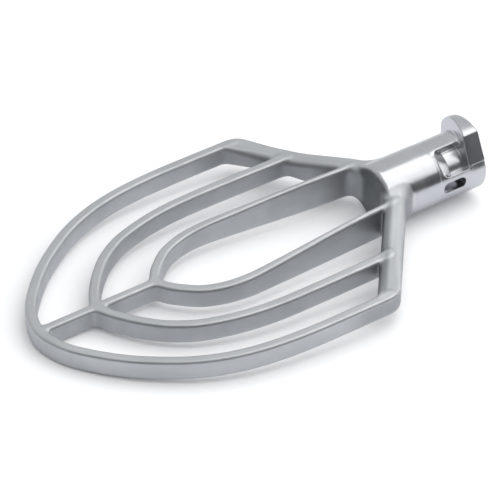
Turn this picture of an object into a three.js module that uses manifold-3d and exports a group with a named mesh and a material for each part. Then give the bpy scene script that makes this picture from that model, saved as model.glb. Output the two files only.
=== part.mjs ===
// Flat beater of a planetary mixer: one aluminium casting, built as its members.
// Millimetres. The shank axis is X, from the blade tip to the shank end. Z is up.
import * as THREE from "three";
import { mergeVertices } from "three/addons/utils/BufferGeometryUtils.js";
import Module from "manifold-3d";

// Blade
const HALF_WIDTH = 95.5;
const BLADE_DEPTH = 14.3;
const EDGE_ROUND = 2.4;
const RIM_WIDTH = 7.2;
const RIB_WIDTH = 7.0;
const SPINE_WIDTH = 6.6;
const SHOULDER_WIDTH = 14.4;
const CORNER_X = 205.5;
const PEAK_X = 278.5;
const CORNER_FILLET = 4;
const KERF = 0.3;

// Towards the shank the inner ribs and shoulder bars get deeper, above and below, by up to
// DEEPER_BY. It grows between two distances along the shank, and fades between two across it.
const DEEPER_BY = 5;
const DEEPER_ALONG = [100, 235];
const DEEPER_ACROSS = [20, 62];
const INNER_RIB_AT_SHANK = 5.2;

// Shank
const SHANK_RADIUS = 21;
const BARREL_START = 249.8;
const SOCKET_START = 291.7;
const COLLAR_START = 313.6;
const SHANK_END = 326;
const BORE_RADIUS = 10;
const BORE_BOTTOM = 258;
const EDGE_BREAK = 0.8;

// Lock groove, cut part of the way round the socket body
const GROOVE_START = 300.5;
const GROOVE_RADIUS = 15.4;
const GROOVE_FROM = 101;
const GROOVE_TO = 158;
const RAMP_LENGTH = 9;
const RAMP_DEPTH = 3.8;

// Pin window through the socket wall, on the -Y side
const WINDOW_START = 292.6;
const WINDOW_END = 309.8;
const WINDOW_HEIGHT = 7.8;

// Raised lobe of the end collar, between two flat flanks that just cut into the disc.
// Its back lies in a slanting plane: x = LOBE_BACK_X + LOBE_BACK_SLOPE . (y, z).
const LOBE_RADIUS = 29.3;
const LOBE_FROM = 30;
const LOBE_TO = 109;
const FLANK_FOOT = 161;
const LOBE_BACK_X = 313.1;
const LOBE_BACK_SLOPE = [0.27, 0.125];

// Steps of curves, and how far a cutting solid runs past the surface that it opens
const SEGMENTS = 48;
const LOBE_STEPS = 16;
const WINDOW_STEPS = 8;
const SECTOR_STEPS = 12;
const ARCH_STEPS = 26;
const LONGEST_EDGE = 14;
const CLEAR = 1;
const TAU = 2 * Math.PI;
const WELD = 1e-3;

const wasm = await Module();
wasm.setup();

// A closed three.js geometry as a manifold solid.
function solidOf(geometry) {
  const bare = geometry.clone();
  bare.deleteAttribute("normal");
  bare.deleteAttribute("uv");
  const merged = mergeVertices(bare, WELD);
  return new wasm.Manifold(
    new wasm.Mesh({
      numProp: 3,
      vertProperties: merged.attributes.position.array,
      triVerts: new Uint32Array(merged.index.array),
    }),
  );
}

// A manifold solid as a three.js geometry.
function geometryOf(solid) {
  const mesh = solid.getMesh();
  const geometry = new THREE.BufferGeometry();
  geometry.setAttribute(
    "position",
    new THREE.BufferAttribute(new Float32Array(mesh.vertProperties), 3),
  );
  geometry.setIndex(new THREE.BufferAttribute(new Uint32Array(mesh.triVerts), 1));
  geometry.computeVertexNormals();
  return geometry;
}

function vec(x, y) {
  return new THREE.Vector2(x, y);
}

function mirrorY(points) {
  return points.map((p) => vec(p.x, -p.y)).reverse();
}

function polar(radius, degrees) {
  const angle = THREE.MathUtils.degToRad(degrees);
  return vec(radius * Math.cos(angle), radius * Math.sin(angle));
}

// A box from one corner to the opposite one.
function box(x0, x1, y0, y1, z0, z1) {
  const geometry = new THREE.BoxGeometry(x1 - x0, y1 - y0, z1 - z0);
  geometry.translate((x0 + x1) / 2, (y0 + y1) / 2, (z0 + z1) / 2);
  return solidOf(geometry);
}

// A turned solid about the X axis, from [x, radius] pairs that start and end on the axis.
function turned(profile) {
  const points = profile.map(([x, radius]) => vec(radius, x));
  const geometry = new THREE.LatheGeometry(points, SEGMENTS);
  geometry.rotateZ(-Math.PI / 2);
  geometry.rotateX(TAU / (2 * SEGMENTS));
  return solidOf(geometry);
}

// A shape drawn in the YZ plane, extruded along X.
function prismX(points, x0, x1) {
  const geometry = new THREE.ExtrudeGeometry(new THREE.Shape(points), {
    depth: x1 - x0,
    bevelEnabled: false,
  });
  geometry.rotateZ(Math.PI / 2);
  geometry.rotateY(Math.PI / 2);
  geometry.translate(x0, 0, 0);
  return solidOf(geometry);
}

// A sector of the YZ plane between two angles, out to a radius.
function sector(from, to, radius) {
  const points = [vec(0, 0)];
  for (let i = 0; i <= SECTOR_STEPS; i++) {
    points.push(polar(radius, from + ((to - from) * i) / SECTOR_STEPS));
  }
  return points;
}

// Outer edges of the rim and the two ribs, from the centre line to the shoulder bar.
const RIM_EDGE = [
  [-1, 0], [0.4, 9.5], [5, 22], [13, 34], [27, 49.6], [42, 62.5], [63, 76.5],
  [83, 85.5], [102, 90.8], [122, 93.8], [144, 95.2], [171, HALF_WIDTH],
];
const MIDDLE_EDGE = [
  [40, 0], [43.8, 10.5], [52, 22.6], [61, 33], [71, 42], [86, 51], [102, 56.5],
  [119, 60.3], [139, 62.5], [166, 63], [216, 62.5], [236, 62.2],
];
const INNER_EDGE = [
  [83, 0], [88, 10], [96, 18.2], [105, 25], [115, 29.3], [126, 32], [140, 33.2],
  [162, 32.4], [188, 31], [215, 29.4], [245, 27.8], [262, 27],
];

// A smooth half outline through the stations, which crosses the centre line at a point of symmetry.
function halfEdge(stations) {
  const far = stations.map(([x, y]) => vec(x, y));
  const near = vec(stations[1][0], -stations[1][1]);
  const curve = new THREE.SplineCurve([near, ...far]);
  const start = 1 / stations.length;
  const points = [];
  for (let i = 0; i <= ARCH_STEPS; i++) {
    points.push(curve.getPoint(start + ((1 - start) * i) / ARCH_STEPS));
  }
  points[0].y = 0;
  return points;
}

// The half outline moved towards the inside of the arch.
function inset(points, distance) {
  return points.map((p, i) => {
    const before = points[Math.max(i - 1, 0)];
    const after = points[Math.min(i + 1, points.length - 1)];
    const along = after.clone().sub(before).normalize();
    if (i === 0) along.set(0, 1);
    return vec(p.x + along.y * distance, p.y - along.x * distance);
  });
}

// Distance of a plan point behind the outer edge of the far shoulder bar.
const shoulderRun = vec(PEAK_X - CORNER_X, -HALF_WIDTH).normalize();
const shoulderOut = vec(-shoulderRun.y, shoulderRun.x);
function behindShoulder(p) {
  return vec(PEAK_X, 0).sub(p).dot(shoulderOut);
}

// The part of a polyline at least a given distance behind the far shoulder; it ends on that line.
function upToShoulder(points, distance) {
  const kept = [];
  for (const p of points) {
    const room = behindShoulder(p) - distance;
    if (room > 0) {
      kept.push(p);
      continue;
    }
    const last = kept[kept.length - 1];
    const lastRoom = behindShoulder(last) - distance;
    kept.push(last.clone().lerp(p, lastRoom / (lastRoom - room)));
    break;
  }
  return kept;
}

// A closed outline with each sharp corner rounded by two cut points and a middle one.
const SHARP_TURN = 0.5;
const LONGEST_CUT = 0.45;
function roundCorners(points, radius) {
  const out = [];
  points.forEach((p, i) => {
    const a = points[(i + points.length - 1) % points.length];
    const b = points[(i + 1) % points.length];
    const toA = a.clone().sub(p);
    const toB = b.clone().sub(p);
    const turn = Math.PI - toA.angleTo(toB);
    if (turn < SHARP_TURN) {
      out.push(p);
      return;
    }
    const shorter = Math.min(toA.length(), toB.length());
    const back = Math.min(radius * Math.tan(turn / 2), LONGEST_CUT * shorter);
    const start = p.clone().add(toA.setLength(back));
    const end = p.clone().add(toB.setLength(back));
    const middle = start.clone().add(end).multiplyScalar(0.25).add(p.clone().multiplyScalar(0.5));
    out.push(start, middle, end);
  });
  return out;
}

const rimOuter = halfEdge(RIM_EDGE);
const rimInner = inset(rimOuter, RIM_WIDTH);
const middleOuter = halfEdge(MIDDLE_EDGE);
const middleInner = inset(middleOuter, RIB_WIDTH);

// The inner ribs also get thinner towards the shank, on their outer side.
const { smoothstep } = THREE.MathUtils;
const innerEdge = halfEdge(INNER_EDGE);
const innerInner = inset(innerEdge, RIB_WIDTH);
const innerOuter = innerEdge.map((p, i) => {
  const lost = (1 - INNER_RIB_AT_SHANK / RIB_WIDTH) * smoothstep(p.x, ...DEEPER_ALONG);
  return p.clone().lerp(innerInner[i], lost);
});

// A polyline without the points that stand too close to either end for a corner fillet.
const FILLET_ROOM = 1.8 * CORNER_FILLET;
function clearEnds(points) {
  const first = points[0];
  const last = points[points.length - 1];
  const isClear = (p) => p.distanceTo(first) > FILLET_ROOM && p.distanceTo(last) > FILLET_ROOM;
  const middle = points.filter(isClear);
  return [first, ...middle, last];
}

// The far opening between an outer arch and an inner arch, with the spine on the centre line.
function sideOpening(outer, inner) {
  const beyondSpine = (p) => p.y > SPINE_WIDTH / 2;
  const outerFirst = outer.findIndex(beyondSpine);
  const innerFirst = inner.findIndex(beyondSpine);
  const onSpine = (line, i) => {
    const a = line[i - 1];
    const b = line[i];
    return a.clone().lerp(b, (SPINE_WIDTH / 2 - a.y) / (b.y - a.y));
  };
  const outerLine = upToShoulder(
    [onSpine(outer, outerFirst), ...outer.slice(outerFirst)],
    SHOULDER_WIDTH,
  );
  const innerLine = upToShoulder(
    [onSpine(inner, innerFirst), ...inner.slice(innerFirst)],
    SHOULDER_WIDTH,
  );
  return roundCorners(
    [...clearEnds(outerLine), ...clearEnds(innerLine).reverse()],
    CORNER_FILLET,
  );
}

const outerOpening = sideOpening(
  [...rimInner, vec(CORNER_X, HALF_WIDTH - RIM_WIDTH)],
  middleOuter,
);
const middleOpening = sideOpening(middleInner, innerOuter);
const innerLimit = innerInner.filter((p) => p.x < BARREL_START - CORNER_FILLET);
innerLimit.push(vec(BARREL_START, innerLimit[innerLimit.length - 1].y));
const innerOpening = roundCorners(
  [...innerLimit.slice(1), ...mirrorY(innerLimit)],
  CORNER_FILLET,
);

const corner = vec(CORNER_X, HALF_WIDTH);
const outline = [...rimOuter, corner, vec(PEAK_X, 0)];
const bladeShape = new THREE.Shape(
  roundCorners([...outline, ...mirrorY(outline.slice(1, -1))], CORNER_FILLET).reverse(),
);
for (const hole of [
  outerOpening,
  mirrorY(outerOpening),
  middleOpening,
  mirrorY(middleOpening),
  innerOpening,
]) {
  bladeShape.holes.push(new THREE.Path(hole));
}
const bladeGeometry = new THREE.ExtrudeGeometry(bladeShape, {
  depth: BLADE_DEPTH - 2 * EDGE_ROUND,
  bevelThickness: EDGE_ROUND,
  bevelSize: EDGE_ROUND,
  bevelOffset: -EDGE_ROUND,
  bevelSegments: 2,
});
bladeGeometry.translate(0, 0, EDGE_ROUND - BLADE_DEPTH / 2);
const blade = solidOf(bladeGeometry)
  .refineToLength(LONGEST_EDGE)
  .warp((v) => {
    const along = smoothstep(v[0], ...DEEPER_ALONG);
    const across = 1 - smoothstep(Math.abs(v[1]), ...DEEPER_ACROSS);
    v[2] *= 1 + (2 * DEEPER_BY * along * across) / BLADE_DEPTH;
  });

// Saw cuts that part the casting into its members, each KERF wide.
const TALL = 60;
const TIP_JOINT = 10;
const MIDDLE_JOINTS = [36, 51];
const INNER_JOINTS = [79, 92];
const SHOULDER_JOINT = SHOULDER_WIDTH + 3;
const PAST_CENTRE = 8;

function centreCut(x0, x1) {
  return box(x0, x1, -KERF / 2, KERF / 2, -TALL, TALL);
}

function crossCut(x) {
  return box(x - KERF / 2, x + KERF / 2, -SPINE_WIDTH, SPINE_WIDTH, -TALL, TALL);
}

// The cut parallel to the shoulder bar on one side, just clear of its inner edge.
function shoulderCut(side) {
  const heading = THREE.MathUtils.radToDeg(Math.atan2(shoulderRun.y, shoulderRun.x));
  const length = 2 * HALF_WIDTH;
  const foot = vec(PEAK_X, 0).sub(shoulderOut.clone().multiplyScalar(SHOULDER_JOINT));
  return box(-length, -PAST_CENTRE, -KERF / 2, KERF / 2, -TALL, TALL)
    .rotate([0, 0, side * heading])
    .translate([foot.x, side * foot.y, 0]);
}

const cuts = [
  centreCut(-TIP_JOINT, TIP_JOINT),
  crossCut(TIP_JOINT),
  crossCut(MIDDLE_JOINTS[0]),
  centreCut(...MIDDLE_JOINTS),
  crossCut(MIDDLE_JOINTS[1]),
  crossCut(INNER_JOINTS[0]),
  centreCut(...INNER_JOINTS),
  shoulderCut(1),
  shoulderCut(-1),
  turned([
    [BARREL_START - KERF, 0],
    [BARREL_START - KERF, SHANK_RADIUS + KERF],
    [SHANK_END, SHANK_RADIUS + KERF],
    [SHANK_END, 0],
  ]),
];

// Middle of the bounding box of each member of the far half; the near half mirrors it.
const MEMBERS = [
  ["rim", 92, 48],
  ["middle_rib", 125, 31],
  ["inner_rib", 160, 17],
  ["shoulder", 222, 58],
];
const SPINES = [
  ["outer_spine", 23],
  ["inner_spine", 65],
];

const labels = [
  ...MEMBERS.map(([name, x, y]) => ({ name: name + "_far", at: vec(x, y) })),
  ...MEMBERS.map(([name, x, y]) => ({ name: name + "_near", at: vec(x, -y) })),
  ...SPINES.map(([name, x]) => ({ name, at: vec(x, 0) })),
];

const solids = new Map();
for (const body of blade.subtract(wasm.Manifold.union(cuts)).decompose()) {
  const { min, max } = body.boundingBox();
  const middle = vec((min[0] + max[0]) / 2, (min[1] + max[1]) / 2);
  const nearest = labels.reduce((best, label) =>
    label.at.distanceTo(middle) < best.at.distanceTo(middle) ? label : best,
  );
  if (solids.has(nearest.name)) throw new Error("two bodies are nearest to " + nearest.name);
  solids.set(nearest.name, body);
}

// Shank
const bore = turned([
  [BORE_BOTTOM, 0],
  [BORE_BOTTOM + BORE_RADIUS / 2, BORE_RADIUS],
  [SHANK_END + CLEAR, BORE_RADIUS],
  [SHANK_END + CLEAR, 0],
]);

const barrel = turned([
  [BARREL_START, 0],
  [BARREL_START, SHANK_RADIUS - EDGE_BREAK],
  [BARREL_START + EDGE_BREAK, SHANK_RADIUS],
  [SOCKET_START - KERF, SHANK_RADIUS],
  [SOCKET_START - KERF, 0],
]);
solids.set("shank_barrel", barrel.subtract(bore));

// The groove is a sector of ring with a ramp on the blade's side.
const rampStart = GROOVE_START - RAMP_LENGTH;
const grooveSector = prismX(
  sector(GROOVE_FROM, GROOVE_TO, 2 * SHANK_RADIUS),
  rampStart,
  COLLAR_START + CLEAR,
);
const grooveFloor = turned([
  [rampStart - CLEAR, 0],
  [rampStart - CLEAR, SHANK_RADIUS + CLEAR],
  [rampStart, SHANK_RADIUS],
  [GROOVE_START, SHANK_RADIUS - RAMP_DEPTH],
  [GROOVE_START, GROOVE_RADIUS],
  [COLLAR_START + 2 * CLEAR, GROOVE_RADIUS],
  [COLLAR_START + 2 * CLEAR, 0],
]);

// The pin window is a slot with round ends, seen along Y.
function pinWindow() {
  const radius = WINDOW_HEIGHT / 2;
  const points = [];
  for (let i = 0; i <= WINDOW_STEPS; i++) {
    points.push(polar(radius, -90 + (180 * i) / WINDOW_STEPS).add(vec(WINDOW_END - radius, 0)));
  }
  for (let i = 0; i <= WINDOW_STEPS; i++) {
    points.push(polar(radius, 90 + (180 * i) / WINDOW_STEPS).add(vec(WINDOW_START + radius, 0)));
  }
  const geometry = new THREE.ExtrudeGeometry(new THREE.Shape(points), {
    depth: 2 * SHANK_RADIUS,
    bevelEnabled: false,
  });
  geometry.rotateX(Math.PI / 2);
  return solidOf(geometry);
}

const socket = turned([
  [SOCKET_START, 0],
  [SOCKET_START, SHANK_RADIUS],
  [COLLAR_START, SHANK_RADIUS],
  [COLLAR_START, 0],
]);
solids.set(
  "socket_body",
  socket.subtract(grooveSector.subtract(grooveFloor)).subtract(bore).subtract(pinWindow()),
);

// The end collar: a disc with a lobe, cut by the two flanks of the lobe.
const lobeCentre = (LOBE_FROM + LOBE_TO) / 2;
const farFoot = 2 * lobeCentre - FLANK_FOOT;
const lobeOutline = [polar(SHANK_RADIUS, farFoot)];
for (let i = 0; i <= LOBE_STEPS; i++) {
  lobeOutline.push(polar(LOBE_RADIUS, LOBE_FROM + ((LOBE_TO - LOBE_FROM) * i) / LOBE_STEPS));
}
lobeOutline.push(polar(SHANK_RADIUS, FLANK_FOOT));

// A solid without what lies beyond the plane of a flank, from its crest to its foot.
function cutByFlank(solid, crest, foot) {
  const along = foot.clone().sub(crest);
  const inwards = vec(along.y, -along.x).normalize();
  const sense = -Math.sign(inwards.dot(crest));
  return solid.trimByPlane([0, sense * inwards.x, sense * inwards.y], sense * inwards.dot(crest));
}

const disc = turned([
  [COLLAR_START + KERF, 0],
  [COLLAR_START + KERF, SHANK_RADIUS],
  [SHANK_END - EDGE_BREAK, SHANK_RADIUS],
  [SHANK_END, SHANK_RADIUS - EDGE_BREAK],
  [SHANK_END, 0],
]);
const nearFlank = [polar(LOBE_RADIUS, LOBE_TO), polar(SHANK_RADIUS, FLANK_FOOT)];
const farFlank = [polar(LOBE_RADIUS, LOBE_FROM), polar(SHANK_RADIUS, farFoot)];
const flatDisc = cutByFlank(cutByFlank(disc, ...nearFlank), ...farFlank);

const backNormal = new THREE.Vector3(1, -LOBE_BACK_SLOPE[0], -LOBE_BACK_SLOPE[1]);
const backOffset = LOBE_BACK_X / backNormal.length();
const lobe = prismX(lobeOutline, COLLAR_START + KERF, SHANK_END - EDGE_BREAK).trimByPlane(
  backNormal.normalize().toArray(),
  backOffset,
);
solids.set("end_collar", flatDisc.add(lobe).subtract(bore));

// The beater rests on the tip of its rim and the blade end of its barrel.
const facetRadius = SHANK_RADIUS * Math.cos(Math.PI / SEGMENTS);
const tipFoot = vec(RIM_EDGE[0][0] + EDGE_ROUND, -BLADE_DEPTH / 2);
const shankFoot = vec(BARREL_START + EDGE_BREAK, -facetRadius);
const tilt = Math.atan2(shankFoot.y - tipFoot.y, shankFoot.x - tipFoot.x);

const CAST = { color: 0xb4b7ba, roughness: 0.42, metalness: 0.9 };
const TURNED = { color: 0xc9ccd0, roughness: 0.2, metalness: 1 };
const MACHINED = ["shank_barrel", "socket_body", "end_collar"];

const posed = new THREE.Matrix4().makeRotationY(tilt);
const bounds = new THREE.Box3();
const meshes = [];
for (const [name, solid] of solids) {
  const finish = MACHINED.includes(name) ? TURNED : CAST;
  const mesh = new THREE.Mesh(
    geometryOf(solid).applyMatrix4(posed),
    new THREE.MeshStandardMaterial(finish),
  );
  mesh.name = name;
  meshes.push(mesh);
  mesh.geometry.computeBoundingBox();
  bounds.union(mesh.geometry.boundingBox);
}

const beater = new THREE.Group();
const middle = bounds.getCenter(new THREE.Vector3());
for (const mesh of meshes) {
  mesh.geometry.translate(-middle.x, -middle.y, -bounds.min.z);
  beater.add(mesh);
}

export default beater;
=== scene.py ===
"""Looks of a flat beater for a planetary mixer: one aluminium casting with a machined drive head."""

import math

import bpy
import numpy as np
from mathutils import Euler, Matrix, Vector


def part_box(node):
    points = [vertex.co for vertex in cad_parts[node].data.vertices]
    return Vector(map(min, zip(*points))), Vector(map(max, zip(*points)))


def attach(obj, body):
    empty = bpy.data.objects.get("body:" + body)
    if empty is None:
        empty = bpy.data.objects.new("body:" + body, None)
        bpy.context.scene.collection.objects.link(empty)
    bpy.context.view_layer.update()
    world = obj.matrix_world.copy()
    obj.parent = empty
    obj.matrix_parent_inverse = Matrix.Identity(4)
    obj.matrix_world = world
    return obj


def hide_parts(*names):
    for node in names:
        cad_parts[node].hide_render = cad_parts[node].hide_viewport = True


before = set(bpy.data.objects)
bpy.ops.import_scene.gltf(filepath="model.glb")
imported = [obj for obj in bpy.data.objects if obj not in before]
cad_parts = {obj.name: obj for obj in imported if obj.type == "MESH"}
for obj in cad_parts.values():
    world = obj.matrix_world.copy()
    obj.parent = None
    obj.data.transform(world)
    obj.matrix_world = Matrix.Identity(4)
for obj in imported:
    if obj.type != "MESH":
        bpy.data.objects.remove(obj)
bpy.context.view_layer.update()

# The shapes below are in millimetres in the shank's own frame: X runs along the shank from the
# tip of the blade, and the blade's mid-plane is Z = 0. Angles about the shank run from +Y to +Z.
MM = 0.001

# Blade. The outlines are half outlines, as stations from the line of symmetry.
HALF_WIDTH = 95.5
HALF_DEPTH = 7.15
RIM_WIDTH = 7.2
RIB_WIDTH = 7.0
SPINE_WIDTH = 6.6
SHOULDER_WIDTH = 14.4
CORNER_X = 205.5
PEAK_X = 278.5
PAST_CORNER = 8.0
INNER_RIB_IN_BARREL = 6.0
RIM_EDGE = [
    (-1, 0), (0.4, 9.5), (5, 22), (13, 34), (27, 49.6), (42, 62.5), (63, 76.5),
    (83, 85.5), (102, 90.8), (122, 93.8), (144, 95.2), (171, HALF_WIDTH),
]
MIDDLE_EDGE = [
    (40, 0), (43.8, 10.5), (52, 22.6), (61, 33), (71, 42), (86, 51), (102, 56.5),
    (119, 60.3), (139, 62.5), (166, 63), (216, 62.5), (236, 62.2),
]
INNER_EDGE = [
    (83, 0), (88, 10), (96, 18.2), (105, 25), (115, 29.3), (126, 32), (140, 33.2),
    (162, 32.4), (188, 31), (215, 29.4), (245, 27.8), (262, 27),
]

# Towards the shank the inner ribs get thinner on their outer side, and they and the shoulder bars
# get deeper. Both changes grow over a span along the shank. The depth fades over a span across it.
INNER_RIB_AT_SHANK = 4.4
DEEPER_BY = 5.0
DEEPER_ALONG = (100, 235)
DEEPER_ACROSS = (20, 62)

# Fillets and rounded edges of the casting. A pair is where a change starts and where it is full.
# The least fillet keeps the sum for a fillet from dividing by nothing where one has faded out.
BAR_ROUND = 2.1
SHOULDER_ROUND = 5.2
SHOULDER_ROUND_FROM_SIDE = (2, 26)
CORNER_ROUND = 6.0
PLAN_FILLET = 3.4
SHOULDER_FILLET = 2.6
SHOULDER_FILLET_FROM_EDGE = (1, 9)
LEAST_FILLET = 0.01
HUB_FILLET = 6.0
BLUNT_END_ROUND = 2.6
SEAM_ROUND = 1.6
BORE_STEP_ROUND = 0.4

# Shank
SHANK_RADIUS = 21.0
BARREL_START = 249.8
HEAD_START = 291.7
COLLAR_START = 313.6
SHANK_END = 326.0
BORE_RADIUS = 10.0
BORE_BOTTOM = 258.0
BORE_CONE_SLOPE = 2.0
BORE_STEP = 0.1
EDGE_BREAK = 0.8
SOCKET_RADIUS = 20.8
SOCKET_EDGE_BREAK = 0.4
HEAD_IN_CASTING = 2.5
BODY_IN_COLLAR = 2.0

# How the CAD model differs: its saw cuts, its facets and the chamfer it rests on
SAW_CUT = 0.3
CAD_SEGMENTS = 48
CAD_CHAMFER = 2.4

# Where the casting is turned bright, as spans from the shank's radius, from the blade and from the
# barrel's blunt end, and in the bore as spans from its radius and its bottom
TURNED_BELOW = (-0.6, -0.1)
TURNED_ABOVE = (0.15, 0.45)
TURNED_OFF_BLADE = (2, 4)
TURNED_OFF_END = (1, 3)
BORED_BEYOND = (1, 2)
BORED_OFF_BOTTOM = (-3, -1)

# How much painted shade darkens the casting's colour, from 0 to 1
RIB_PAINTED_SHADE = 0.2
CORNER_PAINTED_SHADE = 0.5
SHOULDER_PAINTED_SHADE = {"near": 0.65, "far": 0.1}

# Where the painted shade lies: on the blunt end, on the ribs' sides below the faces and away from the
# rim and the shoulder bars, in the corners, and on the inner half of the shoulder bars
BLUNT_SHADE_SPAN = (0.6, 1.6)
CLEAR_OF_A_BAR = (0.5, 4)
BELOW_THE_FACE = (0.3, 3.5)
CORNER_SHADE_REACH = 30.0
BEHIND_THE_MIDDLE = (0, 3)
OFF_THE_SHOULDER = (0.2, 1.2)
INSIDE_THE_RIM = (6, 10)

# Lock groove, pin window and the lobe of the end collar
GROOVE_START = 300.6
GROOVE_RADIUS = 15.4
GROOVE_ANGLES = (101, 158)
RAMP_START = 292.2
RAMP_RADII = (SOCKET_RADIUS, 17.2)
WINDOW_SPAN = (292.6, 309.8)
WINDOW_HALF = 3.9
LOBE_RADIUS = 29.3
LOBE_ANGLES = (30, 109)
FLANK_FOOT = 161
LOBE_FOOT_RISE = 2.0
LOBE_BACK = (1, -0.27, -0.125)
LOBE_BACK_X = 313.1

# Rounding of the head's edges. The scoop is extra rounding along the ramp, over a span behind the
# start of the deep groove.
GROOVE_SECTOR_ROUND = 0.4
GROOVE_CORNER_ROUND = 0.8
RAMP_EDGE_ROUND = 0.5
RAMP_SCOOP = 3.4
RAMP_SCOOP_FADE = (2, 6)
COLLAR_FACE_ROUND = 0.6
GROOVE_EDGE_ROUND = 0.7
WINDOW_EDGE_ROUND = 0.9
COLLAR_ROUND = 0.8
LOBE_BACK_ROUND = 1.6
LOBE_END_ROUND = 1.4
BORE_MOUTH_ROUND = 1.4

# Grids that the shapes are measured on
PLAN_LOW = (-9, -4)
PLAN_HIGH = (301, 106)
PLAN_CELL = 0.5
BLADE_CELL = 0.85
HEAD_CELL = 0.45
CASTING_LOW = (-4, -99, -24)
CASTING_HIGH = (HEAD_START + 3, 99, 24)
HEAD_LOW = (HEAD_START - 5, -26, -26)
HEAD_HIGH = (SHANK_END + 3, 34, 34)

# Moving a mesh onto its shape. The longest move is a share of a cell.
MOVES = 3
LONGEST_MOVE = 0.6
LEAST_STEEPNESS = 0.2
GRADIENT_STEP = 0.04


# ---- Distance fields: each takes points as an N x 3 array and is negative inside ----


def smooth_min(a, b, k):
    """The smaller of two fields, with a fillet of about k where they meet."""
    h = np.maximum(k - np.abs(a - b), 0) / k
    return np.minimum(a, b) - h * h * k / 4


def smooth_max(a, b, k):
    """The larger of two fields, with a rounded edge of about k where they meet."""
    return -smooth_min(-a, -b, k)


def smooth_step(value, low, high):
    """0 below a span, 1 above it, and a smooth rise within it."""
    t = np.clip((value - low) / (high - low), 0, 1)
    return t * t * (3 - 2 * t)


def spline(stations, steps=8):
    """A smooth line through half-outline stations; the first one is on the line of symmetry."""
    known = np.array(stations, float)
    points = np.vstack([known[1] * (1, -1), known, 2 * known[-1] - known[-2]])
    line = []
    for a, b, c, d in zip(points, points[1:], points[2:], points[3:]):
        for t in np.arange(steps) / steps:
            line.append(
                0.5 * (2 * b + (c - a) * t + (2 * a - 5 * b + 4 * c - d) * t**2
                       + (3 * b - a - 3 * c + d) * t**3)
            )
    return np.array(line + [known[-1]])


def inset(line, distance):
    """The half outline moved towards the inside of its arch."""
    along = np.gradient(line, axis=0)
    along[0] = (0, 1)
    along /= np.linalg.norm(along, axis=1)[:, None]
    return line + np.column_stack([along[:, 1], -along[:, 0]]) * distance


def line_distance(p, line):
    """Distance in plan from points to a polyline."""
    best = np.full(len(p), np.inf)
    for a, b in zip(line, line[1:]):
        run = b - a
        t = np.clip(((p - a) @ run) / (run @ run), 0, 1)
        gap = p - a - t[:, None] * run
        best = np.minimum(best, (gap * gap).sum(axis=1))
    return np.sqrt(best)


def far_half(p):
    """Plan positions, with those of the near half mirrored to the far half."""
    return np.column_stack([p[:, 0], np.abs(p[:, 1])])


def from_shank(p):
    """Distance from the shank's axis."""
    return np.hypot(p[:, 1], p[:, 2])


def half_depth(p):
    """Half the blade's depth, which grows where the inner ribs and shoulder bars near the shank."""
    along = smooth_step(p[:, 0], *DEEPER_ALONG)
    across = 1 - smooth_step(np.abs(p[:, 1]), *DEEPER_ACROSS)
    return HALF_DEPTH + DEEPER_BY * along * across


def plate(plan, p, rounding):
    """A plan shape given the blade's depth, with rounded edges."""
    q = plan + rounding
    w = np.abs(p[:, 2]) - half_depth(p) + rounding
    return np.minimum(np.maximum(q, w), 0) + np.hypot(np.maximum(q, 0), np.maximum(w, 0)) - rounding


corner = np.array([CORNER_X, HALF_WIDTH])
peak = np.array([PEAK_X, 0])
shoulder_run = (peak - corner) / np.linalg.norm(peak - corner)
shoulder_in = np.array([shoulder_run[1], -shoulder_run[0]])
half_shoulder = SHOULDER_WIDTH / 2
shoulder_line = np.array([corner, peak]) + shoulder_in * half_shoulder
shoulder_line[0] -= shoulder_run * PAST_CORNER


def behind_shoulder(plan):
    """Distance in plan from the outer edge of the far shoulder bar, towards the inside."""
    return (plan - peak) @ shoulder_in


def up_to_shoulder(line):
    """The part of a line up to the middle of the shoulder bar."""
    return line[behind_shoulder(line) > half_shoulder]


def inner_rib_width(plan):
    """The inner rib gets thinner on its outer side as it gets deeper."""
    return RIB_WIDTH - (RIB_WIDTH - INNER_RIB_AT_SHANK) * smooth_step(plan[:, 0], *DEEPER_ALONG)


rim_line = inset(spline(RIM_EDGE), RIM_WIDTH / 2)
rim_line = np.vstack([rim_line, (CORNER_X + PAST_CORNER, HALF_WIDTH - RIM_WIDTH / 2)])
middle_line = up_to_shoulder(inset(spline(MIDDLE_EDGE), RIB_WIDTH / 2))
inner_edge = spline(INNER_EDGE)
inner_line = inset(inner_edge, (RIB_WIDTH - inner_rib_width(inner_edge) / 2)[:, None])
inner_line = inner_line[inner_line[:, 0] < BARREL_START + INNER_RIB_IN_BARREL]
spine_line = np.array([[RIM_WIDTH, 0], [INNER_EDGE[0][0] + RIB_WIDTH / 2, 0]])


def rim_in_plan(plan):
    """The rim of the far half, cut off by the outer edge of the shoulder bar."""
    rim = line_distance(plan, rim_line) - RIM_WIDTH / 2
    return smooth_max(rim, -behind_shoulder(plan), CORNER_ROUND)


def bars_in_plan(plan):
    """Rim, ribs and spines of the far half, joined by fillets."""
    bars = rim_in_plan(plan)
    bars = smooth_min(bars, line_distance(plan, middle_line) - RIB_WIDTH / 2, PLAN_FILLET)
    inner_rib = line_distance(plan, inner_line) - inner_rib_width(plan) / 2
    bars = smooth_min(bars, inner_rib, PLAN_FILLET)
    return smooth_min(bars, line_distance(plan, spine_line) - SPINE_WIDTH / 2, PLAN_FILLET)


def shoulder_in_plan(plan):
    """The far shoulder bar, cut off by the outer edge of the rim."""
    bar = line_distance(plan, shoulder_line) - half_shoulder
    return smooth_max(bar, plan[:, 1] - HALF_WIDTH, CORNER_ROUND)


def plan_map(shape):
    """A plan shape measured once on a grid, for cubic_reading. The far half serves for both."""
    axes = [np.arange(a, b, PLAN_CELL) for a, b in zip(PLAN_LOW, PLAN_HIGH)]
    grid = np.stack(np.meshgrid(*axes, indexing="ij"), axis=-1)
    return shape(far_half(grid.reshape(-1, 2))).reshape(grid.shape[:2])


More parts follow.
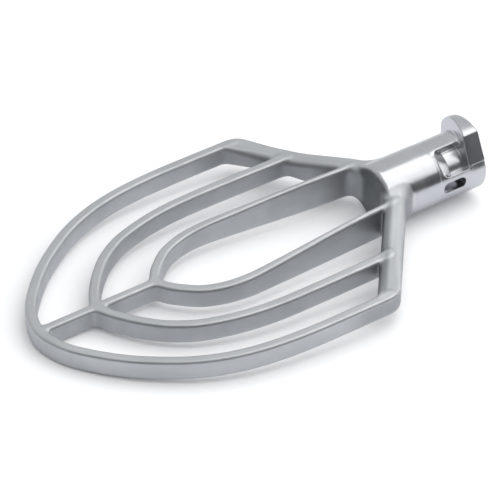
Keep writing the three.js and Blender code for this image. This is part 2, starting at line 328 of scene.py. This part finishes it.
def cubic_weights(t):
    """The shares of four neighbours in a row, for a point that is t of the way past the second."""
    return (
        (-t + 2 * t**2 - t**3) / 2,
        (2 - 5 * t**2 + 3 * t**3) / 2,
        (t + 4 * t**2 - 3 * t**3) / 2,
        (t**3 - t**2) / 2,
    )


def cubic_reading(field, p):
    """A plan map's value at any point, smooth between its grid points."""
    u = (p[:, 0] - PLAN_LOW[0]) / PLAN_CELL
    v = (np.abs(p[:, 1]) - PLAN_LOW[1]) / PLAN_CELL
    i = u.astype(int)
    j = v.astype(int)
    across = cubic_weights(v - j)
    value = 0
    for a, along in enumerate(cubic_weights(u - i)):
        row = sum(across[b] * field[i + a - 1, j + b - 1] for b in range(4))
        value = value + along * row
    return value


rim_map = plan_map(rim_in_plan)
bars_map = plan_map(bars_in_plan)
shoulder_map = plan_map(shoulder_in_plan)


def bars_and_shoulders(p):
    """Two fields at the blade's depth: the rim with the ribs and spines, and the shoulder bars.

    The shoulder bars are rounder than the rim, and come down to its rounding at the corners."""
    bars = plate(cubic_reading(bars_map, p), p, BAR_ROUND)
    share = smooth_step(HALF_WIDTH - np.abs(p[:, 1]), *SHOULDER_ROUND_FROM_SIDE)
    rounding = BAR_ROUND + (SHOULDER_ROUND - BAR_ROUND) * share
    shoulders = plate(cubic_reading(shoulder_map, p), p, rounding)
    return bars, shoulders


def blade(p):
    """The whole blade, with fillets inside it that fade out towards its outer edges."""
    bars, shoulders = bars_and_shoulders(p)
    plan = far_half(p)
    from_edge = np.minimum(HALF_WIDTH - plan[:, 1], behind_shoulder(plan))
    fillet = SHOULDER_FILLET * smooth_step(from_edge, *SHOULDER_FILLET_FROM_EDGE) + LEAST_FILLET
    return smooth_min(bars, shoulders, fillet)


def cylinder(p, radius, start, end, edge=EDGE_BREAK):
    """A round bar about the shank's axis, with the edges at its ends broken."""
    across = from_shank(p) - radius
    along = np.maximum(start - p[:, 0], p[:, 0] - end)
    return smooth_max(across, along, 2 * edge)


def bore(p, radius=BORE_RADIUS):
    """The round hole of the socket, with a coned bottom."""
    across = from_shank(p)
    cone = (across - BORE_CONE_SLOPE * (p[:, 0] - BORE_BOTTOM)) / math.hypot(1, BORE_CONE_SLOPE)
    return np.maximum(across - radius, cone)


def casting(p):
    """The blade run into the barrel of the shank, bored and cut off where the head starts."""
    barrel = cylinder(p, SHANK_RADIUS, BARREL_START, COLLAR_START, BLUNT_END_ROUND)
    whole = smooth_min(blade(p), barrel, HUB_FILLET)
    whole = smooth_max(whole, p[:, 0] - HEAD_START, SEAM_ROUND)
    return smooth_max(whole, -bore(p, BORE_RADIUS + BORE_STEP), BORE_STEP_ROUND)


def machined_barrel(p):
    """1 on the turned part of the barrel and in its bore, and 0 in the fillets and on its end."""
    radius = from_shank(p)
    turned = smooth_step(radius - SHANK_RADIUS, *TURNED_BELOW)
    turned *= 1 - smooth_step(radius - SHANK_RADIUS, *TURNED_ABOVE)
    turned *= smooth_step(blade(p), *TURNED_OFF_BLADE)
    turned *= smooth_step(p[:, 0] - BARREL_START, *TURNED_OFF_END)
    bored = 1 - smooth_step(radius - BORE_RADIUS, *BORED_BEYOND)
    bored *= smooth_step(p[:, 0] - BORE_BOTTOM, *BORED_OFF_BOTTOM)
    return np.maximum(turned, bored)


def painted_shade_of_ribs(p, bars, shoulders):
    """Painted shade on the ribs' sides away from the rim and the shoulder bars, and in the corners
    between the bars.
    """
    reach = CORNER_SHADE_REACH
    in_corner = smooth_step(reach - np.abs(bars - shoulders), 0, reach)
    on_rib = smooth_step(cubic_reading(rim_map, p), *CLEAR_OF_A_BAR)
    on_rib *= smooth_step(shoulders, *CLEAR_OF_A_BAR)
    on_side = smooth_step(half_depth(p) - np.abs(p[:, 2]), *BELOW_THE_FACE)
    return np.maximum(CORNER_PAINTED_SHADE * in_corner, RIB_PAINTED_SHADE * on_rib) * on_side


def painted_shade_of_shoulders(p, shoulders):
    """Painted shade on the inner half of the shoulder bars, up to the rim."""
    plan = far_half(p)
    share = smooth_step(behind_shoulder(plan) - half_shoulder, *BEHIND_THE_MIDDLE)
    share *= 1 - smooth_step(shoulders, *OFF_THE_SHOULDER)
    share *= smooth_step(HALF_WIDTH - plan[:, 1], *INSIDE_THE_RIM)
    return share * np.where(p[:, 1] < 0, SHOULDER_PAINTED_SHADE["near"], SHOULDER_PAINTED_SHADE["far"])


def painted_shade(p):
    """Painted shade: on the barrel's blunt end, and less so inside the blade."""
    blunt = 1 - smooth_step(p[:, 0] - BARREL_START, *BLUNT_SHADE_SPAN)
    blunt *= smooth_step(blade(p), *CLEAR_OF_A_BAR)
    bars, shoulders = bars_and_shoulders(p)
    inside = np.maximum(painted_shade_of_ribs(p, bars, shoulders), painted_shade_of_shoulders(p, shoulders))
    return np.maximum(blunt, inside)


def half_plane(p, degrees, offset=0.0):
    """Negative on the near side of a plane whose normal points outwards at an angle about the shank."""
    angle = math.radians(degrees)
    return p[:, 1] * math.cos(angle) + p[:, 2] * math.sin(angle) - offset


def lock_groove(p):
    """A sector of ring with a ramp on the blade's side, up to the end collar."""
    low, high = GROOVE_ANGLES
    sector = smooth_max(half_plane(p, low - 90), half_plane(p, high + 90), GROOVE_SECTOR_ROUND)
    slope = (RAMP_RADII[1] - RAMP_RADII[0]) / (GROOVE_START - RAMP_START)
    ramp = RAMP_RADII[0] + slope * (np.minimum(p[:, 0], GROOVE_START) - RAMP_START)
    radius = from_shank(p)
    above_ramp = np.maximum(ramp - radius, RAMP_START - p[:, 0])
    deep = smooth_max(GROOVE_RADIUS - radius, GROOVE_START - p[:, 0], GROOVE_CORNER_ROUND)
    cut = smooth_min(above_ramp, deep, RAMP_EDGE_ROUND)
    scoop = RAMP_SCOOP * smooth_step(GROOVE_START - p[:, 0], *RAMP_SCOOP_FADE)
    cut = smooth_max(cut, sector, GROOVE_CORNER_ROUND + scoop)
    return smooth_max(cut, p[:, 0] - COLLAR_START, COLLAR_FACE_ROUND)


def pin_window(p):
    """A slot with round ends through the wall on the -Y side."""
    middle = sum(WINDOW_SPAN) / 2
    reach = (WINDOW_SPAN[1] - WINDOW_SPAN[0]) / 2 - WINDOW_HALF
    past = np.maximum(np.abs(p[:, 0] - middle) - reach, 0)
    return np.maximum(np.hypot(past, p[:, 2]) - WINDOW_HALF, p[:, 1])


def flanks(p):
    """Positive beyond the two flat flanks of the lobe, which just cut into the collar."""
    high = math.radians(LOBE_ANGLES[1])
    foot_at = math.radians(FLANK_FOOT)
    crest = LOBE_RADIUS * np.array([math.cos(high), math.sin(high)])
    foot = SHANK_RADIUS * np.array([math.cos(foot_at), math.sin(foot_at)])
    facing = math.atan2(crest[0] - foot[0], foot[1] - crest[1])
    offset = crest @ (math.cos(facing), math.sin(facing))
    facing = math.degrees(facing)
    near = half_plane(p, facing, offset)
    far = half_plane(p, sum(LOBE_ANGLES) - facing, offset)
    return np.maximum(near, far)


def lobe(p):
    """The raised part of the end collar, without its flanks. Its back lies in a slanting plane."""
    raised = from_shank(p) - LOBE_RADIUS
    raised = np.maximum(raised, half_plane(p, sum(LOBE_ANGLES) / 2 + 180, -LOBE_FOOT_RISE))
    back = (LOBE_BACK_X - p @ LOBE_BACK) / np.linalg.norm(LOBE_BACK)
    ends = np.maximum(COLLAR_START - p[:, 0], p[:, 0] - SHANK_END)
    return smooth_max(smooth_max(raised, back, LOBE_BACK_ROUND), ends, LOBE_END_ROUND)


def head(p):
    """The machined end: socket body with its groove and window, and the end collar."""
    start = HEAD_START - HEAD_IN_CASTING
    body = cylinder(p, SOCKET_RADIUS, start, COLLAR_START + BODY_IN_COLLAR, SOCKET_EDGE_BREAK)
    body = smooth_max(body, -lock_groove(p), GROOVE_EDGE_ROUND)
    body = smooth_max(body, -pin_window(p), WINDOW_EDGE_ROUND)
    collar = smooth_min(cylinder(p, SHANK_RADIUS, COLLAR_START, SHANK_END), lobe(p), COLLAR_ROUND)
    collar = smooth_max(collar, flanks(p), COLLAR_ROUND)
    return smooth_max(smooth_min(body, collar, COLLAR_FACE_ROUND), -bore(p), BORE_MOUTH_ROUND)


# ---- From a field to a mesh ----


def surface_net(field, low, cell):
    """Vertices and quads of a field's zero surface, one vertex for each grid cell that it crosses."""
    corners = np.array(field.shape)
    cells = corners - 1
    total = np.zeros((cells.prod(), 3))
    count = np.zeros(cells.prod())
    rings = []
    for axis in range(3):
        u, v = (axis + 1) % 3, (axis + 2) % 3
        first = np.moveaxis(field, axis, 0)[:-1]
        second = np.moveaxis(field, axis, 0)[1:]
        start = np.argwhere((first < 0) != (second < 0))
        a = first[tuple(start.T)]
        b = second[tuple(start.T)]
        edge = np.empty_like(start)
        edge[:, axis] = start[:, 0]
        edge[:, [i for i in range(3) if i != axis]] = start[:, 1:]
        point = edge.astype(float)
        point[:, axis] += a / (a - b)
        ring = []
        for du, dv in ((0, 0), (1, 0), (1, 1), (0, 1)):
            cell_at = edge.copy()
            cell_at[:, u] -= du
            cell_at[:, v] -= dv
            number = np.ravel_multi_index(tuple(cell_at.T), tuple(cells))
            for i in range(3):
                total[:, i] += np.bincount(number, point[:, i], cells.prod())
            count += np.bincount(number, minlength=cells.prod())
            ring.append(number)
        ring = np.column_stack(ring)
        inwards = a > b
        ring[inwards] = ring[inwards][:, ::-1]
        rings.append(ring)
    used = np.flatnonzero(count)
    place = np.full(cells.prod(), -1)
    place[used] = np.arange(len(used))
    vertices = low + cell * total[used] / count[used][:, None]
    return vertices, place[np.vstack(rings)]


def gradient(shape, points):
    """How a field grows along each axis, which is outwards at its zero surface."""
    slopes = []
    for axis in range(3):
        shift = np.zeros(3)
        shift[axis] = GRADIENT_STEP
        slopes.append((shape(points + shift) - shape(points - shift)) / (2 * GRADIENT_STEP))
    return np.column_stack(slopes)


def solid_mesh(shape, low, high, cell):
    """The surface of a shape, with its vertices moved onto it and its exact normals."""
    low = np.array(low, float)
    axes = [np.arange(a, b + cell, cell) for a, b in zip(low, high)]
    grid = np.stack(np.meshgrid(*axes, indexing="ij"), axis=-1)
    field = shape(grid.reshape(-1, 3)).reshape(grid.shape[:3])
    vertices, quads = surface_net(field, low, cell)
    for _ in range(MOVES):
        slope = gradient(shape, vertices)
        steepness = np.maximum((slope * slope).sum(axis=1), LEAST_STEEPNESS)
        move = -(shape(vertices) / steepness)[:, None] * slope
        vertices = vertices + np.clip(move, -LONGEST_MOVE * cell, LONGEST_MOVE * cell)
    normals = gradient(shape, vertices)
    normals /= np.maximum(np.linalg.norm(normals, axis=1), 1e-9)[:, None]
    return vertices, quads, normals


def resting_pose():
    """From the shank's frame in millimetres to the part's frame in metres."""
    facet_radius = SHANK_RADIUS * math.cos(math.pi / CAD_SEGMENTS)
    rise = HALF_DEPTH - facet_radius
    tilt = math.atan2(rise, BARREL_START + EDGE_BREAK - (RIM_EDGE[0][0] + CAD_CHAMFER))
    turn = Matrix.Rotation(tilt, 4, "Y")
    low, high = (Vector(end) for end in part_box("shank_barrel"))
    middle = Vector(((BARREL_START + HEAD_START - SAW_CUT) / 2, 0, 0)) * MM
    return Matrix.Translation((low + high) / 2 - turn @ middle) @ turn @ Matrix.Scale(MM, 4)


pose = resting_pose()


def add_piece(name, shape, low, high, cell, material, nodes, marks):
    """A piece around some CAD nodes. marks are shares from 0 to 1 that its material reads by name."""
    vertices, quads, normals = solid_mesh(shape, low, high, cell)
    mesh = bpy.data.meshes.new(name)
    mesh.from_pydata(vertices.tolist(), [], quads.tolist())
    mesh.transform(pose)
    mesh.polygons.foreach_set("use_smooth", [True] * len(mesh.polygons))
    turn = np.array(pose.to_3x3().normalized())
    mesh.normals_split_custom_set_from_vertices((normals @ turn.T).tolist())
    mesh.materials.append(material)
    for mark_name, share in marks.items():
        attribute = mesh.attributes.new(mark_name, "FLOAT", "POINT")
        attribute.data.foreach_set("value", share(vertices))
    piece = bpy.data.objects.new(name, mesh)
    bpy.context.collection.objects.link(piece)
    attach(piece, "root")
    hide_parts(*nodes)
    return piece


# ---- Materials ----

CAST_DARK = (0.64, 0.655, 0.67)
CAST_LIGHT = (0.73, 0.745, 0.755)
# Colour of the painted shade on the casting
CAST_PAINTED_SHADE = (0.26, 0.27, 0.28)
CAST_ROUGHNESS = (0.46, 0.56)
TURNED_DARK = (0.66, 0.67, 0.695)
TURNED_LIGHT = (0.75, 0.755, 0.77)
TURNED_ROUGHNESS = (0.2, 0.27)

# Noise scales are per metre, and bump distances in metres
NOISE_SPAN = (0.3, 0.7)
PATCHES = {"scale": 28, "detail": 4}
DENTS = {"scale": 130, "detail": 3}
GRAIN = {"scale": 900, "detail": 3, "roughness": 0.6}
STAINS = {"scale": 60, "detail": 4}
RINGS = {"scale": 1600, "detail": 2, "roughness": 0.5}
DENT_BUMP = {"strength": 0.25, "distance": 0.0006}
GRAIN_BUMP = {"strength": 0.12, "distance": 0.0001}
RING_BUMP = {"strength": 0.08, "distance": 0.0001}
RING_TILT = 0.055
RING_STRETCH = 0.02

# What a finish is made of, and the shader's inputs for it
FINISH_KINDS = ("RGBA", "FLOAT", "VECTOR")
FINISH_INPUTS = ("Base Color", "Roughness", "Normal")


def new_material(name):
    """A material with its nodes, its links and its shader."""
    material = bpy.data.materials.new(name)
    material.use_nodes = True
    nodes = material.node_tree.nodes
    return material, nodes, material.node_tree.links, nodes["Principled BSDF"]


def noise(nodes, links, coordinates, scale, detail, roughness=0.55):
    """A value that varies from place to place, mostly within NOISE_SPAN."""
    node = nodes.new("ShaderNodeTexNoise")
    node.inputs["Scale"].default_value = scale
    node.inputs["Detail"].default_value = detail
    node.inputs["Roughness"].default_value = roughness
    links.new(coordinates, node.inputs["Vector"])
    return node.outputs["Fac"]


def spread(nodes, links, value, low, high):
    """A noise's value spread over a range."""
    node = nodes.new("ShaderNodeMapRange")
    node.inputs["From Min"].default_value = NOISE_SPAN[0]
    node.inputs["From Max"].default_value = NOISE_SPAN[1]
    node.inputs["To Min"].default_value = low
    node.inputs["To Max"].default_value = high
    links.new(value, node.inputs["Value"])
    return node.outputs["Result"]


def two_tone(nodes, links, value, dark, light):
    """A colour between two, by a value from 0 to 1."""
    node = nodes.new("ShaderNodeMix")
    node.data_type = "RGBA"
    node.inputs["A"].default_value = (*dark, 1)
    node.inputs["B"].default_value = (*light, 1)
    links.new(value, node.inputs["Factor"])
    return node.outputs["Result"]


def bump(nodes, links, height, strength, distance, under=None):
    """The surface's normal with a relief, which may be on top of another one."""
    node = nodes.new("ShaderNodeBump")
    node.inputs["Strength"].default_value = strength
    node.inputs["Distance"].default_value = distance
    links.new(height, node.inputs["Height"])
    if under:
        links.new(under, node.inputs["Normal"])
    return node.outputs["Normal"]


def mark(nodes, name):
    """A share that the mesh carries."""
    node = nodes.new("ShaderNodeAttribute")
    node.attribute_name = name
    return node.outputs["Fac"]


def blend(nodes, links, share, kind, a, b):
    """Input a where share is 0 and b where it is 1."""
    node = nodes.new("ShaderNodeMix")
    node.data_type = kind
    links.new(share, node.inputs[0])
    for source, socket in zip((a, b), [s for s in node.inputs if s.name in "AB" and s.enabled]):
        links.new(source, socket)
    return next(s for s in node.outputs if s.enabled)


def cast_finish(nodes, links, place):
    """Colour, roughness and relief of a tumbled casting: satin, faintly uneven, with a fine grain."""
    patches = spread(nodes, links, noise(nodes, links, place, **PATCHES), 0, 1)
    dents = noise(nodes, links, place, **DENTS)
    grain = noise(nodes, links, place, **GRAIN)
    # Painted shade: the satin colour goes dark grey by the mesh's painted shade share
    painted_shade_colour = nodes.new("ShaderNodeMix")
    painted_shade_colour.data_type = "RGBA"
    painted_shade_colour.inputs["B"].default_value = (*CAST_PAINTED_SHADE, 1)
    links.new(mark(nodes, "painted_shade"), painted_shade_colour.inputs["Factor"])
    links.new(two_tone(nodes, links, patches, CAST_DARK, CAST_LIGHT), painted_shade_colour.inputs["A"])
    roughness = spread(nodes, links, dents, *CAST_ROUGHNESS)
    dented = bump(nodes, links, dents, **DENT_BUMP)
    grained = bump(nodes, links, grain, under=dented, **GRAIN_BUMP)
    return painted_shade_colour.outputs["Result"], roughness, grained


def turned_finish(nodes, links, place):
    """Colour, roughness and relief of a bright turned surface, with faint rings about the shank."""
    along = nodes.new("ShaderNodeMapping")
    along.inputs["Rotation"].default_value = (0, RING_TILT, 0)
    along.inputs["Scale"].default_value = (1, RING_STRETCH, RING_STRETCH)
    links.new(place, along.inputs["Vector"])
    rings = noise(nodes, links, along.outputs["Vector"], **RINGS)
    stains = spread(nodes, links, noise(nodes, links, place, **STAINS), 0, 1)
    colour = two_tone(nodes, links, stains, TURNED_DARK, TURNED_LIGHT)
    roughness = spread(nodes, links, stains, *TURNED_ROUGHNESS)
    return colour, roughness, bump(nodes, links, rings, **RING_BUMP)


def cast_aluminium():
    """The casting's finish, with the turned one where the mesh says that it was machined."""
    material, nodes, links, shader = new_material("cast_aluminium")
    place = nodes.new("ShaderNodeTexCoord").outputs["Object"]
    share = mark(nodes, "machined")
    satin = cast_finish(nodes, links, place)
    bright = turned_finish(nodes, links, place)
    for kind, name, a, b in zip(FINISH_KINDS, FINISH_INPUTS, satin, bright):
        links.new(blend(nodes, links, share, kind, a, b), shader.inputs[name])
    shader.inputs["Metallic"].default_value = 1.0
    return material


def turned_aluminium():
    """The turned finish all over, for the drive head."""
    material, nodes, links, shader = new_material("turned_aluminium")
    place = nodes.new("ShaderNodeTexCoord").outputs["Object"]
    for name, value in zip(FINISH_INPUTS, turned_finish(nodes, links, place)):
        links.new(value, shader.inputs[name])
    shader.inputs["Metallic"].default_value = 1.0
    return material


# ---- The pieces ----

cast = cast_aluminium()
turned = turned_aluminium()

MEMBERS = ["rim", "middle_rib", "inner_rib", "shoulder"]
CAST_NODES = [f"{name}_{side}" for name in MEMBERS for side in ("far", "near")]
CAST_NODES += ["outer_spine", "inner_spine", "shank_barrel"]

add_piece(
    "beater_casting", casting,
    CASTING_LOW, CASTING_HIGH, BLADE_CELL,
    cast, CAST_NODES,
    # The second share paints shade into the casting's colour
    {"machined": machined_barrel, "painted_shade": painted_shade},
)
add_piece(
    "drive_head", head,
    HEAD_LOW, HEAD_HIGH, HEAD_CELL,
    turned, ["socket_body", "end_collar"],
    {},
)


# ---- Floor, light and camera ----

FLOOR_REACH = 1.6
FLOOR_TONE = (0.9, 0.9, 0.905)
FLOOR_GLOW = 0.05
REFLECTED_FLOOR_TONE = (0.66, 0.67, 0.695)
REFLECTED_FLOOR_HEIGHT = 0.0003

# The two standing cards show in reflections only. The black one makes the dark line along the
# shank.
FLAG = {"middle": (0.33, -0.47), "size": (0.8, 0.17), "tone": (0.02, 0.02, 0.022), "glow": 0.05}
SIDE_CARD = {"middle": (0.75, 0.05), "size": (0.6, 0.35), "tone": (0.6, 0.6, 0.61), "glow": 0.7}
CARD_UNEVENNESS = {"scale": 6, "detail": 2}
CARD_LIGHTER = 1.02
CARD_ROUGHNESS = 0.8

OVERHEAD = {"direction": (0.4, -0.2, 0.9), "size": 1.1, "power": 4.0}
FLOOR_LIGHT = {"direction": (0.15, -0.35, 1.0), "size": 2.4, "power": 17.0}
LIGHT_DISTANCE = 1.0

# The surroundings go from dark to pale over a span of the direction's share towards the pale side
PALE_SIDE = (0.1, 0.75, 0.65)
PALE_SPAN = (-0.1, 0.9)
PALE_LEVEL = 0.6
DARK_LEVEL = 0.12
WORLD_TINT = (0.96, 0.98, 1.0)

# The lens and the sensor are in millimetres, the place in metres and the turn in degrees
CAMERA_LENS = 227.6
CAMERA_SENSOR = 36
CAMERA_REACH = 20
CAMERA_AT = (-0.8927, -1.29406, 1.2602)
CAMERA_TURN = (51.518, -1.951, -32.846)


def add_card(name, corners, tone, glow):
    """A flat stage card with a faintly uneven tone."""
    mesh = bpy.data.meshes.new(name)
    mesh.from_pydata(corners, [], [(0, 1, 2, 3)])
    material, nodes, links, shader = new_material(name)
    place = nodes.new("ShaderNodeTexCoord").outputs["Object"]
    lighter = [min(1, CARD_LIGHTER * value) for value in tone]
    uneven = noise(nodes, links, place, **CARD_UNEVENNESS)
    links.new(two_tone(nodes, links, uneven, tone, lighter), shader.inputs["Base Color"])
    shader.inputs["Roughness"].default_value = CARD_ROUGHNESS
    shader.inputs["Emission Color"].default_value = (1, 1, 1, 1)
    shader.inputs["Emission Strength"].default_value = glow
    mesh.materials.append(material)
    card = bpy.data.objects.new(name, mesh)
    bpy.context.collection.objects.link(card)
    return card


def square(size, height):
    """The corners of a level square about the origin that reaches a size to each side."""
    return [(size * x, size * y, height) for x, y in ((-1, -1), (1, -1), (1, 1), (-1, 1))]


def seen_in_reflections_only(card):
    """Hides a card from the camera and from the floor, and takes its shadow away."""
    card.visible_camera = False
    card.visible_diffuse = False
    card.visible_shadow = False


def add_floor():
    """A pale table top that glows a little, and a greyer one just above it that the metal reflects."""
    floor = add_card("floor", square(FLOOR_REACH, 0), FLOOR_TONE, FLOOR_GLOW)
    floor.visible_glossy = False
    above = square(FLOOR_REACH, REFLECTED_FLOOR_HEIGHT)
    seen_in_reflections_only(add_card("reflected_floor", above, REFLECTED_FLOOR_TONE, 0.0))


def add_standing_card(name, middle, size, tone, glow):
    """A card that stands on the floor, faces the object and shows in its reflections only."""
    x, y = middle
    run = Vector((-y, x)).normalized() * size[0] / 2
    near = (x - run.x, y - run.y)
    far = (x + run.x, y + run.y)
    corners = [(*near, 0), (*far, 0), (*far, size[1]), (*near, size[1])]
    seen_in_reflections_only(add_card(name, corners, tone, glow))


def add_softbox(name, direction, size, power):
    """A square light that faces the object from a direction."""
    data = bpy.data.lights.new(name, "AREA")
    data.shape = "SQUARE"
    data.size = size
    data.energy = power
    light = bpy.data.objects.new(name, data)
    away = Vector(direction).normalized()
    light.location = away * LIGHT_DISTANCE
    light.rotation_euler = away.to_track_quat("Z", "Y").to_euler()
    bpy.context.collection.objects.link(light)
    return light


def add_world():
    """A studio that is pale behind and above the object, and dark at the front right."""
    world = bpy.data.worlds.new("studio")
    world.use_nodes = True
    nodes = world.node_tree.nodes
    links = world.node_tree.links
    facing = nodes.new("ShaderNodeVectorMath")
    facing.operation = "DOT_PRODUCT"
    facing.inputs[1].default_value = Vector(PALE_SIDE).normalized()
    links.new(nodes.new("ShaderNodeTexCoord").outputs["Generated"], facing.inputs[0])
    ramp = nodes.new("ShaderNodeMapRange")
    ramp.interpolation_type = "SMOOTHSTEP"
    ramp.inputs["From Min"].default_value = PALE_SPAN[0]
    ramp.inputs["From Max"].default_value = PALE_SPAN[1]
    ramp.inputs["To Min"].default_value = DARK_LEVEL
    ramp.inputs["To Max"].default_value = PALE_LEVEL
    links.new(facing.outputs["Value"], ramp.inputs["Value"])
    background = nodes["Background"]
    background.inputs["Color"].default_value = (*WORLD_TINT, 1)
    links.new(ramp.outputs["Result"], background.inputs["Strength"])
    bpy.context.scene.world = world


def add_camera():
    """The camera where it stood for the photograph."""
    data = bpy.data.cameras.new("camera")
    data.lens = CAMERA_LENS
    data.sensor_width = CAMERA_SENSOR
    data.clip_end = CAMERA_REACH
    camera = bpy.data.objects.new("camera", data)
    camera.location = CAMERA_AT
    camera.rotation_euler = Euler([math.radians(angle) for angle in CAMERA_TURN])
    bpy.context.collection.objects.link(camera)
    bpy.context.scene.camera = camera


add_floor()
add_world()
add_standing_card("flag", **FLAG)
add_standing_card("side_card", **SIDE_CARD)
add_softbox("overhead", **OVERHEAD)
floor_light = add_softbox("floor_light", **FLOOR_LIGHT)
floor_light.visible_glossy = False
add_camera()
bpy.context.scene.view_settings.view_transform = "Standard"
